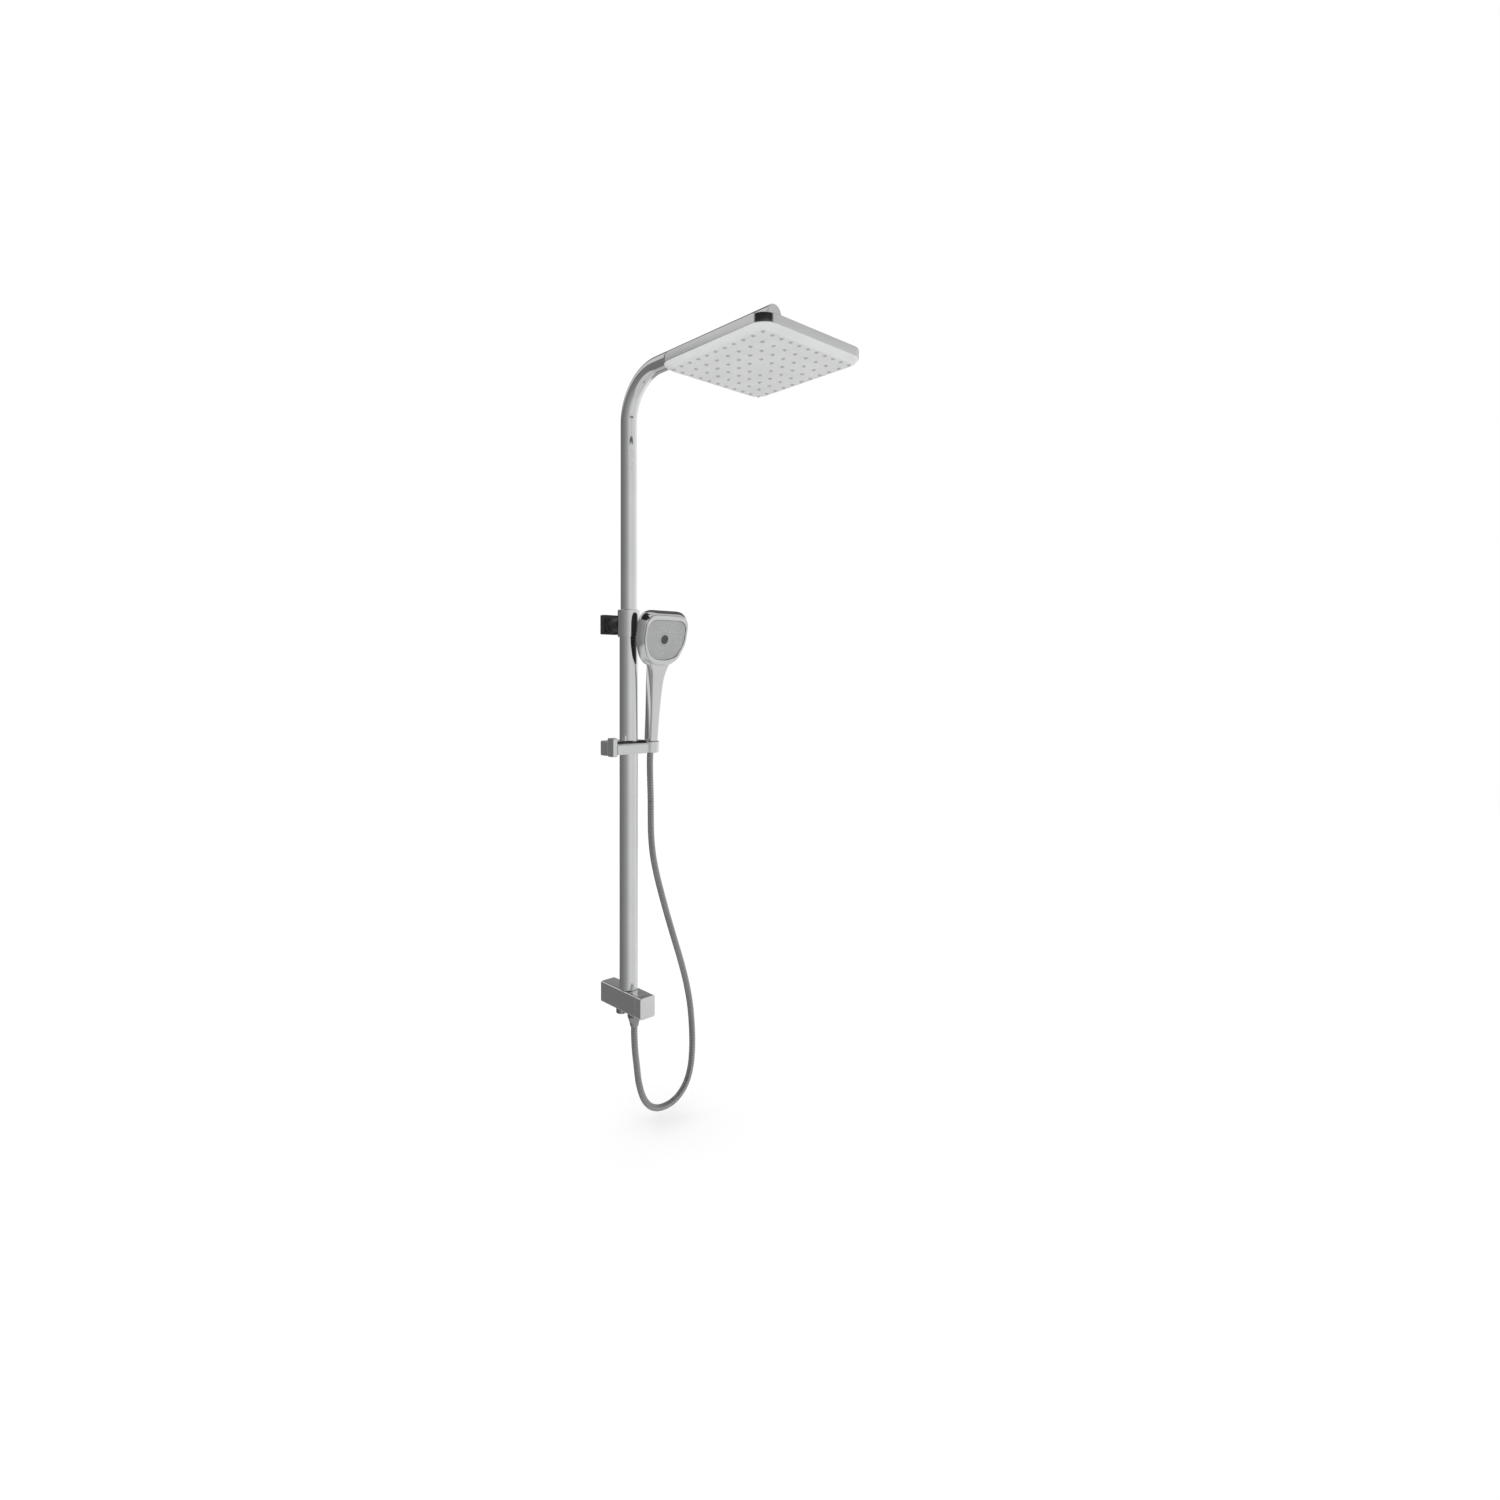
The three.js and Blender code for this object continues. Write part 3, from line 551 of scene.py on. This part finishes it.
# ---- riser, its bend and the arm ----
BEND = 86
bend_centre = Vector((0, -BEND, 1155 - BEND))
route = [Vector((0, 0, 440)), Vector((0, 0, 700)), Vector((0, 0, 1154 - BEND))]
for i in range(33):
    angle = math.pi / 2 * i / 32
    route.append(bend_centre + Vector((0, math.cos(angle), math.sin(angle))) * BEND)
route.append(Vector((0, -BEND - 1, 1155)))
route.append(Vector((0, -363.4, 1155)))
route.append(Vector((0, -364, 1155)))
bm = bmesh.new()
outer = []
for i, (point, side, up) in enumerate(frames_along(route)):
    radius = 14.7 if i == len(route) - 1 else 15
    tangent = side.cross(up)
    outer.append([
        AXIS + (point + (side * math.cos(TAU * k / 64) + up * math.sin(TAU * k / 64)) * radius) * MM
        for k in range(64)
    ])
skin(bm, outer)
place(link("riser_pipe", bm, CHROME), "riser", "riser_tube")

ARM_Z = 1155
ARM_PLACE = Matrix.Translation(AXIS) @ at(0, 0, ARM_Z) @ ALONG_ROOM
bm = bmesh.new()
turn(bm, [
    (0, 356), (13, 356), (13, 364.3), (14.6, 364.3), (15, 364.7), (15, 365.8), (14.7, 366.6),
    (14, 367), (0, 367),
], 64, ARM_PLACE)
place(link("arm_cap", bm, CHROME), "riser", "arm_end_cap")

DROP_PLACE = Matrix.Translation(BALL)
bm = bmesh.new()
turn(bm, [
    (7.2, 13.2), (10.3, 13.2), (11, 13.9), (11, 21), (11.4, 22.4), (12.4, 24.6), (14.2, 27.4),
    (13, 30), (7.2, 30),
], 48, DROP_PLACE)
place(link("arm_drop_boss", bm, CHROME), "riser", "arm_outlet")

# ---- ball joint ----
bm = bmesh.new()
ball_profile = [(0, -9.3)]
for i in range(25):
    angle = math.radians(-68 + (i / 24) * 129)
    ball_profile.append((10 * math.cos(angle), 10 * math.sin(angle)))
ball_profile += [(5, 12.4), (6.7, 13.3), (6.7, 21), (0, 21)]
turn(bm, ball_profile, 48, DROP_PLACE)
place(link("ball", bm, CHROME), "riser", "ball_stud")

bm = bmesh.new()
nut_profile = [
    (13.8, -12), (15.4, -12), (16, -11.4), (16, -0.8), (15.6, 0.2), (13, 5.2), (12.4, 5.9),
    (11.6, 6.1),
]
for i in range(9):
    angle = math.radians(34 - 48 * i / 8)
    nut_profile.append((10.4 * math.cos(angle), 10.4 * math.sin(angle)))
nut_profile += [(10.1, -3.2), (13.8, -3.2)]
turn(bm, nut_profile, 72, DROP_PLACE)
place(link("ball_nut", bm, CHROME), "rain_head", "swivel_nut")

# ---- overhead head ----
FACE_Z = -36
RIM_Z = -28.2


def head_outline(inset):
    return round_rect(230 - 2 * inset, 230 - 2 * inset, max(28 - inset, 3), 14)


bm = bmesh.new()
stack(bm, head_outline, [
    (2.2, RIM_Z + 1), (2.0, RIM_Z), (0.3, RIM_Z), (0, RIM_Z + 0.3), (0, -15.6), (0.3, -14.8), (0.9, -14.2),
    (1.8, -14), (30, -13.5), (70, -13.1), (98, -12.7),
], BALL_FRAME)
turn(bm, [
    (0, -15), (13.4, -15), (13.4, -3.9), (13, -3.5), (11.2, -3.5), (11.2, -12.6), (0, -12.6),
], 48, BALL_FRAME)
place(link("head_shell", bm, PLASTIC_CHROME), "rain_head", "head_top_shell")

bm = bmesh.new()
stack(bm, head_outline, [
    (3, RIM_Z + 0.5), (2, RIM_Z - 0.1), (0.5, RIM_Z - 0.1), (0.6, RIM_Z - 0.4), (1.6, -30), (3.2, -31.5),
    (5.4, -33), (8.4, -34.5), (11.4, -35.5), (14, FACE_Z),
], BALL_FRAME)
place(link("head_face", bm, PALE), "rain_head", "head_spray_plate")


def nozzle(bm, place_at, base, tip, height, sides=14):
    """One soft nozzle: a low collar, a tapered teat and the hole in its end."""
    turn(bm, [
        (0, 0.3), (base + 0.9, 0.3), (base + 0.9, -0.1), (base + 0.5, -0.35), (base, -0.4),
        (tip + 0.15, -height + 0.3), (tip, -height), (tip * 0.5, -height), (tip * 0.4, -height + 0.7),
        (0, -height + 0.7),
    ], sides, place_at)


bm = bmesh.new()
places = []
for i in range(-5, 6):
    for j in range(-5, 6):
        if max(abs(i), abs(j)) == 5:
            places.append((i * 19.2, j * 19.2))
for i in range(-3, 4):
    for j in range(-3, 4):
        if i or j:
            places.append((i * 23.7, j * 23.7))
for x, y in places:
    nozzle(bm, BALL_FRAME @ at(x, y, FACE_Z), 2.5, 1.9, 1.4)
place(link("head_nozzles", bm, SILICONE), "rain_head", "head_nozzle_mat")

# ---- slider ----
SLIDER_LEFT, SLIDER_RIGHT = -44, 25
SLIDER_Z, SLIDER_TOP = 457.5, 481.5
bm = bmesh.new()
section = [
    (26, SLIDER_Z), (26, SLIDER_TOP - 4), (22, SLIDER_TOP), (-18, SLIDER_TOP), (-26, SLIDER_TOP - 8),
    (-26, SLIDER_Z),
]
rings = []
for x in (SLIDER_LEFT, SLIDER_RIGHT):
    rings.append([AXIS + Vector((x, y, z)) * MM for y, z in section])
skin(bm, rings)
slider = rounded(link("slider_block", bm, PLASTIC_CHROME, flat=False), 0.5, 4)
hole = bmesh.new()
turn(hole, [(0, 440), (17.4, 440), (17.4, 490), (0, 490)], 72, COLUMN_PLACE)
mesh = bpy.data.meshes.new("slider_hole")
hole.to_mesh(mesh)
hole.free()
cutter = bpy.data.objects.new("slider_hole", mesh)
scene.collection.objects.link(cutter)


def bake_modifiers(obj):
    """Keep the mesh that the modifiers make, and drop the modifiers."""
    graph = bpy.context.evaluated_depsgraph_get()
    result = bpy.data.meshes.new_from_object(obj.evaluated_get(graph))
    obj.modifiers.clear()
    obj.data = result
    return obj


def carve(obj, tool):
    boolean = obj.modifiers.new("cut", "BOOLEAN")
    boolean.operation = "DIFFERENCE"
    boolean.solver = "EXACT"
    boolean.object = tool
    bake_modifiers(obj)
    bpy.data.objects.remove(tool)
    return obj


weigh(carve(slider, cutter))
place(slider, "slider", "slider_body")


# ---- lock lever on the slider's end ----
def plate_outline(width, height, corner):
    return outline_of(width, height, corner, 6)


bm = bmesh.new()
LEVER_Z = 468.5
lever_turn = Matrix.Rotation(math.radians(-90), 4, "Y")
lever_place = Matrix.Translation(AXIS) @ at(SLIDER_LEFT, 0, LEVER_Z) @ lever_turn
stack(bm, plate_outline(27, 22, 3), front_levels(0.1, 8.7, 0.8), lever_place @ at(0, 5, 0))
stack(bm, plate_outline(34, 18, 3), front_levels(0.1, 9, 0.8), lever_place @ at(2.5, -15, 0))
place(link("lock_lever_plate", bm, PLASTIC_CHROME), "slider_lock", "lock_lever")

# ---- holder ring ----
bm = bmesh.new()
turn(bm, [
    (8.6, -10.25), (9.2, -10.25), (14.7, -10.25), (15.2, -9.95), (15.5, -9.4), (15.5, 9.4), (15.2, 9.95),
    (14.7, 10.25), (12.1, 10.25), (11.7, 9.9), (8.6, -9.8),
], 64, HOLDER_FRAME)
turn(bm, [(0, -16.7), (7.1, -16.7), (7.5, -16.3), (7.5, -13.4), (0, -13.4)], 40, HOLDER_FRAME @ ALONG_X)
place(link("holder_cup", bm, PLASTIC_CHROME), "holder", "holder_ring")

# ---- handset ----
HALF_WIDE, JAW, TOP, LOW = 57, 45, 52, -54


def bezier(a, b, c, d, count):
    points = []
    for i in range(count):
        t = i / count
        s = 1 - t
        points.append(tuple(
            s**3 * p + 3 * s * s * t * q + 3 * s * t * t * r + t**3 * e for p, q, r, e in zip(a, b, c, d)
        ))
    return points


def half_outline():
    """Right half of the head's widest outline, from the chin up: narrow jaw, full cheeks, round brow."""
    right = bezier((0, LOW), (JAW * 0.5, LOW), (JAW * 0.84, LOW + 7), (JAW, LOW + 22), 12)
    right += bezier((JAW, LOW + 22), (JAW * 1.14, LOW + 35), (HALF_WIDE, LOW + 46), (HALF_WIDE, 4), 12)
    right += [(HALF_WIDE, 4 + (TOP - 30) * i / 4) for i in range(4)]
    right += bezier(
        (HALF_WIDE, TOP - 26), (HALF_WIDE, TOP - 8), (HALF_WIDE - 12, TOP), (HALF_WIDE - 29, TOP), 14,
    )
    return right + [((HALF_WIDE - 29) * (1 - i / 4), TOP) for i in range(4)]


RIGHT = half_outline()
OUTLINE = RIGHT + [(0, TOP)] + [(-x, y) for x, y in RIGHT[1:]][::-1]


def handset_outline(inset):
    """The head's outline drawn in by millimetres at its widest, the rest in proportion."""
    share = 1 - inset / HALF_WIDE
    return [(x * share, y * share) for x, y in OUTLINE]


def handle_ring(half_width, half_depth, y, z):
    """One rounded-rectangle ring of the handle, in the holder's frame."""
    corner = min(4.5, 0.6 * half_depth)
    section = round_rect(2 * half_width, 2 * half_depth, corner)
    return [HOLDER_FRAME @ (Vector((x, y + d, z)) * MM) for x, d in section]


HANDLE = [
    (9.0, 10.0, 0, 11.0), (9.5, 10.5, 0, 11.8), (9.5, 10.9, 0, 18), (9.6, 11, 0, 24), (10.5, 11, 0, 60),
    (12.5, 11, -0.5, 100), (14.5, 11, -1.5, 125), (18, 10, -5, 143), (24, 8, -9, 158), (30, 6, -11, 172),
]


def smooth_rows(rows, per_span=5):
    """More rows between the given ones, on a Catmull-Rom curve."""
    padded = [rows[0], *rows, rows[-1]]
    made = []
    for a, b, c, d in zip(padded, padded[1:], padded[2:], padded[3:]):
        for i in range(per_span):
            t = i / per_span
            made.append(tuple(
                0.5 * (
                    2 * q + (r - p) * t + (2 * p - 5 * q + 4 * r - s) * t * t
                    + (3 * q - p - 3 * r + s) * t**3
                )
                for p, q, r, s in zip(a, b, c, d)
            ))
    made.append(rows[-1])
    return made


bm = bmesh.new()
stack(bm, handset_outline, [
    (26, -9.4), (17, -9.3), (10, -9), (5.4, -8.1), (2.4, -6.8), (0.8, -5.4), (0.1, -3.8),
    (0.2, -2), (0.9, 0.5), (2.2, 3.6), (4, 7.2), (6, 10.2), (7, 11), (10.3, 11), (10.6, 10.7), (10.6, 6.4),
], FACE_FRAME)
skin(bm, [handle_ring(*row) for row in smooth_rows(HANDLE)])
place(link("handset_body", bm, PLASTIC_CHROME), "handset", "handset_shell")

# Near-black sheet over the head's back, a hair proud of the plated shell: painted shade, so the column tube
# and collar mirror black behind the handset.
bm = bmesh.new()
stack(bm, handset_outline, [
    (2.2, -5.4), (1.0, -6), (1.6, -6.9), (4.6, -8.6), (9, -9.5), (17, -9.8), (26, -9.9),
], FACE_FRAME)
place(link("handset_back_shade", bm, NEAR_BLACK), "handset")


def face_outline(inset):
    """The spray face's outline: the head's, a little lower, so the rim is widest above and below."""
    return [(x, y * 0.88) for x, y in handset_outline(inset)]


def face_ring(outline, inset, height):
    return [FACE_FRAME @ (Vector((x, y, height)) * MM) for x, y in outline(inset)]


bm = bmesh.new()
skin(bm, [
    face_ring(handset_outline, 7.2, 11.1), face_ring(handset_outline, 7.3, 12.2),
    face_ring(handset_outline, 7.8, 13.2), face_ring(handset_outline, 8.7, 13.8),
    face_ring(face_outline, 10.7, 13.8), face_ring(face_outline, 11.3, 13.4),
    face_ring(face_outline, 11.6, 12.7), face_ring(face_outline, 11.6, 11.2),
], loop=True)
place(link("handset_rim", bm, PLASTIC_CHROME), "handset", "handset_trim")

# The spray face is a shallow dish: (inset, height) from its edge to its middle.
DISH = [(11.9, 7), (11.9, 11.6), (12.4, 12), (14, 11.8), (20, 10.8), (28, 9.8), (36, 9), (41, 8.8)]
KEY_RING = [(12, 8.8), (11.6, 9.3), (11.2, 9.6), (9.9, 10), (8.9, 9.9), (8.4, 9.4), (8.4, 6.6)]
rings = []
for inset, height in DISH:
    rings.append(face_ring(face_outline, inset, height))
for radius, height in KEY_RING:
    around = [Vector((x, y, 0)).normalized() * radius + Vector((0, 0, height)) for x, y in OUTLINE]
    rings.append([FACE_FRAME @ (point * MM) for point in around])
bm = bmesh.new()
skin(bm, rings, loop=True)
place(link("handset_face", bm, FACE_GREY), "handset", "handset_spray_plate")

bm = bmesh.new()
turn(bm, [(0, 5), (8, 5), (8, 8.8), (7.6, 9.4), (6.8, 9.6), (4.6, 9.4), (2.4, 9), (0, 8.9)], 56, FACE_FRAME)
place(link("mode_key_cap", bm, DARK), "mode_key", "mode_button")

# The key's return spring, between the shell and the key.
SPRING = {"turns": 4.5, "radius": 5.2, "wire": 0.5, "low": -4.2, "high": 4.1}
coil = []
for i in range(181):
    share = i / 180
    angle = TAU * SPRING["turns"] * share
    height = SPRING["low"] + (SPRING["high"] - SPRING["low"]) * share
    out_x = SPRING["radius"] * math.cos(angle)
    out_y = SPRING["radius"] * math.sin(angle)
    coil.append(FACE_FRAME @ (Vector((out_x, out_y, height)) * MM))
bm = bmesh.new()
skin(bm, tube_rings(coil, [SPRING["wire"] * MM] * len(coil), 8))
spring = link("key_spring", bm, STEEL, 60, False)
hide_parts("mode_button_spring")
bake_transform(spring)


def dish_height(x, y):
    """Height of the dished face at a point, from how far out it lies towards the outline."""
    rim = min(OUTLINE, key=lambda p: -(p[0] * x + p[1] * y) / math.hypot(*p))
    inset = HALF_WIDE * (1 - math.hypot(x, y) / math.hypot(*rim))
    for (outer, high), (inner, low) in zip(DISH[2:], DISH[3:]):
        if outer <= inset <= inner:
            return high + (low - high) * (inset - outer) / (inner - outer)
    return DISH[-1][1]


bm = bmesh.new()
for radius, count in ((17, 10), (24, 14), (31, 18), (38, 22)):
    for i in range(count):
        angle = TAU * (i + 0.5 * (count % 4 == 2)) / count
        x, y = radius * math.cos(angle), radius * math.sin(angle)
        if radius == 38 and y < -24:
            continue
        tip = FACE_FRAME @ at(x, y, dish_height(x, y)) @ Matrix.Rotation(math.pi, 4, "X")
        nozzle(bm, tip, 1.3, 0.85, 0.9, 10)
place(link("handset_nozzles", bm, SILICONE), "handset", "handset_nozzle_mat")

upper_nut = hose_nut("hose_nut_upper", HOLDER_FRAME, [
    (6.5, -10.05, 0), (7.7, -10.25, 0), (8.1, -9.95, 0), (11.2, 9.4, 0), (11.4, 10, 0), (11.4, 10.65, 0),
    (11.1, 10.95, 0), (7.7, 10.95, 0), (7.7, 0.5, 0), (6.5, 0.5, 0),
], 24)
place(upper_nut, "handset", "upper_hose_nut")

# ---- cords ----
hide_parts("hose")
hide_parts("hose_upper")
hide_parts("hose_neck")
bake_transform(hose)
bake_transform(hose_top)
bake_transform(hose_neck)

# ---- studio ----
bm = bmesh.new()
floor_z = cad_box[0].z - 0.02
half = 6
corners = [(-half, -half), (half, -half), (half, half), (-half, half)]
bm.faces.new([bm.verts.new((x, y, floor_z)) for x, y in corners])
floor_look = Nodes("floor")
floor_look.set(Roughness=0.8)
floor_tone = floor_look.ramp(floor_look.noise(3, 2), [(0.3, grey(0.93)), (0.7, grey(0.95))])
floor_look.wire(floor_tone, floor_look.shader.inputs["Base Color"])
floor_mesh = bpy.data.meshes.new("floor")
bm.to_mesh(floor_mesh)
bm.free()
floor_mesh.materials.append(floor_look.material)
floor = bpy.data.objects.new("floor", floor_mesh)
scene.collection.objects.link(floor)
floor.visible_glossy = False

# World: plain white to the eye and for soft light; a studio's light and dark walls where metal mirrors it.
world = bpy.data.worlds.new("studio")
scene.world = world
world.use_nodes = True
tree = world.node_tree
tree.nodes.clear()
CAMERA_SIDE = math.degrees(math.atan2(-0.7536, -0.6574))     # direction from the object to the camera


def world_node(kind, *sources, **values):
    """A node with its first inputs wired to the given sockets."""
    node = tree.nodes.new(kind)
    for key, value in values.items():
        setattr(node, key, value)
    for source, target in zip(sources, node.inputs):
        tree.links.new(source, target)
    return node


def world_range(source, low, high):
    """0 to 1 as the source goes from low to high."""
    node = world_node("ShaderNodeMapRange", source)
    node.inputs["From Min"].default_value = low
    node.inputs["From Max"].default_value = high
    return node.outputs["Result"]


def wall_ramp(bearing, walls):
    """Grey levels round the room, by degrees from the camera's side (plus is towards its right)."""
    node = world_node("ShaderNodeValToRGB", bearing)
    stops = sorted((((CAMERA_SIDE + offset + 180) % 360) / 360, level) for offset, level in walls)
    elements = node.color_ramp.elements
    while len(elements) < len(stops):
        elements.new(0.5)
    for element, (position, level) in zip(elements, stops):
        element.position = position
        element.color = (level, level, level, 1)
    return node.outputs["Color"]


def blended(share, first, second):
    node = world_node("ShaderNodeMix", share, data_type="RGBA")
    tree.links.new(first, node.inputs[6])
    if isinstance(second, float):
        node.inputs[7].default_value = (second, second, second, 1)
    else:
        tree.links.new(second, node.inputs[7])
    return node.outputs[2]


def background(strength, colour=None):
    node = tree.nodes.new("ShaderNodeBackground")
    node.inputs["Strength"].default_value = strength
    node.inputs["Color"].default_value = (1, 1, 1, 1)
    if colour is not None:
        tree.links.new(colour, node.inputs["Color"])
    return node.outputs[0]


direction = world_node("ShaderNodeTexCoord").outputs["Generated"]
split = world_node("ShaderNodeSeparateXYZ", direction)
angle = world_node("ShaderNodeMath", split.outputs["Y"], split.outputs["X"], operation="ARCTAN2")
bearing = world_range(angle.outputs[0], -math.pi, math.pi)
LEVEL_WALLS = [
    (-179, 0.35), (-172, 0.35), (-162, 0.15), (-98, 0.18), (-54, 0.24), (-30, 0.30), (0, 0.52), (15, 0.64),
    (35, 0.70), (60, 0.67), (90, 0.71), (110, 0.80), (140, 0.90), (160, 0.94), (168, 0.35), (179, 0.35),
]
HIGH_WALLS = [
    (-179, 0.1), (-148, 0.1), (-142, 0.6), (-62, 0.64), (-50, 0.02), (50, 0.02), (62, 0.57), (138, 0.57),
    (144, 0.1), (179, 0.1),
]
overhead = world_range(split.outputs["Z"], 0.31, 0.40)
downward = world_range(split.outputs["Z"], -0.60, -0.72)
walls = blended(overhead, wall_ramp(bearing, LEVEL_WALLS), wall_ramp(bearing, HIGH_WALLS))
mirrored = blended(downward, walls, 0.62)
ray = world_node("ShaderNodeLightPath")
SOFT_LIGHT = 1.13
mirror_light = background(1.0, mirrored)
lit = world_node(
    "ShaderNodeMixShader", ray.outputs["Is Glossy Ray"], background(SOFT_LIGHT), mirror_light,
)
seen = world_node("ShaderNodeMixShader", ray.outputs["Is Camera Ray"], lit.outputs[0], background(1.0))
world_node("ShaderNodeOutputWorld", seen.outputs[0])

scene.view_settings.view_transform = "Standard"
